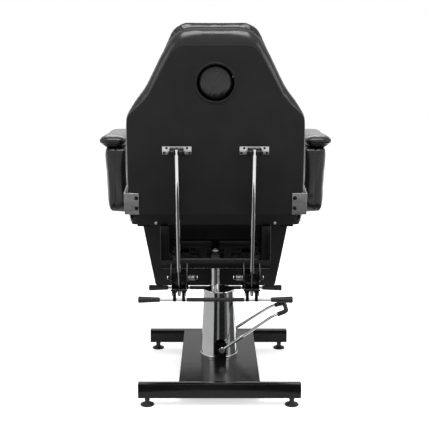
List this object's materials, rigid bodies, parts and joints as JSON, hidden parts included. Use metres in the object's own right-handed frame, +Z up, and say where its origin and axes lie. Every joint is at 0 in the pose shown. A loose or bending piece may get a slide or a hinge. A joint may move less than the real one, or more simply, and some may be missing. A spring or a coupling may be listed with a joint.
{
  "type": "tattoo chair",
  "caption": "Black padded tattoo chair with reclining back, face-rest opening, rising leg rest and lift-off armrests on a foot-pumped column with a flat base.",
  "frame": {"origin": "on the floor, at the middle of the bounding box", "axes": "+Z up, +Y the way the sitter faces, +X to the right seen from behind"},
  "size_m": [0.808, 0.7018, 1.254],
  "materials": {
    "vinyl_foam": "black coated upholstery fabric over foam",
    "vinyl_board": "plywood board covered in black upholstery fabric",
    "rubber": "black moulded rubber",
    "chrome": "polished chrome plate",
    "pump_iron": "dark cast iron",
    "black_paint": "black powder coat on steel",
    "zinc_steel": "bright zinc-plated steel"
  },
  "bodies": {
    "base": {"base_crossbar_rear": "black_paint", "base_crossbar_front": "black_paint", "base_subframe": "black_paint", "base_cover": "black_paint", "pump_body": "pump_iron", "pump_gland": "zinc_steel", "pump_cover": "chrome"},
    "foot_rear_left": {"levelling_foot_rear_left": "rubber"},
    "foot_rear_right": {"levelling_foot_rear_right": "rubber"},
    "foot_front_left": {"levelling_foot_front_left": "rubber"},
    "foot_front_right": {"levelling_foot_front_right": "rubber"},
    "pedal": {"pedal_loop": "chrome", "pedal_tread": "rubber", "pedal_shaft": "zinc_steel"},
    "plunger": {"pump_plunger": "zinc_steel"},
    "ram": {"ram": "chrome", "swivel_washer": "zinc_steel"},
    "seat": {"seat_frame_rear": "black_paint", "seat_frame_front": "black_paint", "seat_frame_side_left": "black_paint", "seat_frame_side_right": "black_paint", "seat_frame_centre": "black_paint", "seat_board": "vinyl_board", "seat_cushion": "vinyl_foam", "seat_side_plate_left": "zinc_steel", "seat_side_plate_right": "zinc_steel"},
    "backrest": {"back_board": "vinyl_board", "back_cushion": "vinyl_foam", "back_hinge_plate_left": "zinc_steel", "back_hinge_plate_right": "zinc_steel", "back_rod_bracket_left": "zinc_steel", "back_rod_bracket_right": "zinc_steel"},
    "face_plug": {"face_plug": "vinyl_foam"},
    "back_rods": {"back_rod_left": "zinc_steel", "back_rod_right": "zinc_steel"},
    "back_clamps": {"back_clamp_left": "black_paint", "back_clamp_right": "black_paint", "back_clamp_spring_left": "zinc_steel", "back_clamp_spring_right": "zinc_steel"},
    "back_lever": {"back_lever_bar": "zinc_steel", "back_lever_grip_left": "rubber", "back_lever_grip_right": "rubber"},
    "leg_rest": {"leg_board": "vinyl_board", "leg_cushion": "vinyl_foam", "leg_hinge_plate_left": "black_paint", "leg_hinge_plate_right": "black_paint", "leg_rod_bracket_left": "zinc_steel", "leg_rod_bracket_right": "zinc_steel"},
    "leg_rods": {"leg_rod_left": "zinc_steel", "leg_rod_right": "zinc_steel"},
    "leg_clamps": {"leg_clamp_left": "black_paint", "leg_clamp_right": "black_paint"},
    "leg_lever": {"leg_lever_bar": "zinc_steel", "leg_lever_grip_left": "rubber", "leg_lever_grip_right": "rubber"},
    "armrest_left": {"armrest_panel_left": "vinyl_foam", "armrest_pad_left": "vinyl_foam"},
    "armrest_right": {"armrest_panel_right": "vinyl_foam", "armrest_pad_right": "vinyl_foam"}
  },
  "joints": [
    {"name": "ram_slide", "type": "slide", "parent": "base", "child": "ram", "axis": [0, 0, 1], "range_m": [0, 0.15]},
    {"name": "seat_swivel", "type": "hinge", "parent": "ram", "child": "seat", "pos_m": [0, -0.01517, 0.433], "axis": [0, 0, 1], "continuous": true},
    {"name": "back_hinge", "type": "hinge", "parent": "seat", "child": "backrest", "pos_m": [0, -0.18017, 0.65], "axis": [1, 0, 0], "range_deg": [0, 79.5]},
    {"name": "back_rod_pins", "type": "hinge", "parent": "backrest", "child": "back_rods", "pos_m": [0, -0.31783, 0.84946], "axis": [1, 0, 0], "range_deg": [-39.8, 0]},
    {"name": "back_clamp_pins", "type": "hinge", "parent": "seat", "child": "back_clamps", "pos_m": [0, -0.19317, 0.408], "axis": [1, 0, 0], "range_deg": [0, 39.8]},
    {"name": "back_lever_pivot", "type": "hinge", "parent": "back_clamps", "child": "back_lever", "pos_m": [0, -0.19619, 0.3635], "axis": [-1, 0, 0], "range_deg": [0, 15], "stiffness_Nm_per_rad": 6, "springref_deg": -11.46},
    {"name": "face_plug_slide", "type": "slide", "parent": "backrest", "child": "face_plug", "axis": [0, 0.9833, 0.1822], "range_m": [0, 0.08]},
    {"name": "leg_hinge", "type": "hinge", "parent": "seat", "child": "leg_rest", "pos_m": [0, 0.23483, 0.64], "axis": [1, 0, 0], "range_deg": [0, 77]},
    {"name": "leg_rod_pins", "type": "hinge", "parent": "leg_rest", "child": "leg_rods", "pos_m": [0, 0.21445, 0.39853], "axis": [1, 0, 0], "range_deg": [-38.6, 0]},
    {"name": "leg_clamp_pins", "type": "hinge", "parent": "seat", "child": "leg_clamps", "pos_m": [0, 0.17983, 0.404], "axis": [1, 0, 0], "range_deg": [0, 38.6]},
    {"name": "leg_lever_pivot", "type": "hinge", "parent": "leg_clamps", "child": "leg_lever", "pos_m": [0, 0.17983, 0.308], "axis": [-1, 0, 0], "range_deg": [0, 15], "stiffness_Nm_per_rad": 6, "springref_deg": -11.46},
    {"name": "armrest_left_lift", "type": "slide", "parent": "seat", "child": "armrest_left", "axis": [0, 0, 1], "range_m": [0, 0.05]},
    {"name": "armrest_right_lift", "type": "slide", "parent": "seat", "child": "armrest_right", "axis": [0, 0, 1], "range_m": [0, 0.05]},
    {"name": "pedal_pivot", "type": "hinge", "parent": "base", "child": "pedal", "pos_m": [0.024, -0.01517, 0.115], "axis": [0, 1, 0], "range_deg": [0, 25], "stiffness_Nm_per_rad": 6, "springref_deg": -20.05},
    {"name": "plunger_slide", "type": "slide", "parent": "base", "child": "plunger", "axis": [0, 0, -1], "range_m": [0, 0.0125]},
    {"name": "foot_rear_left_screw", "type": "slide", "parent": "base", "child": "foot_rear_left", "axis": [0, 0, -1], "range_m": [0, 0.012]},
    {"name": "foot_rear_right_screw", "type": "slide", "parent": "base", "child": "foot_rear_right", "axis": [0, 0, -1], "range_m": [0, 0.012]},
    {"name": "foot_front_left_screw", "type": "slide", "parent": "base", "child": "foot_front_left", "axis": [0, 0, -1], "range_m": [0, 0.012]},
    {"name": "foot_front_right_screw", "type": "slide", "parent": "base", "child": "foot_front_right", "axis": [0, 0, -1], "range_m": [0, 0.012]}
  ],
  "couplings": [
    {"joint": "back_rod_pins", "follows": "back_hinge", "ratio": -0.5},
    {"joint": "back_clamp_pins", "follows": "back_hinge", "ratio": 0.5},
    {"joint": "leg_rod_pins", "follows": "leg_hinge", "ratio": -0.5},
    {"joint": "leg_clamp_pins", "follows": "leg_hinge", "ratio": 0.5},
    {"joint": "plunger_slide", "follows": "pedal_pivot", "m_per_rad": 0.028}
  ]
}
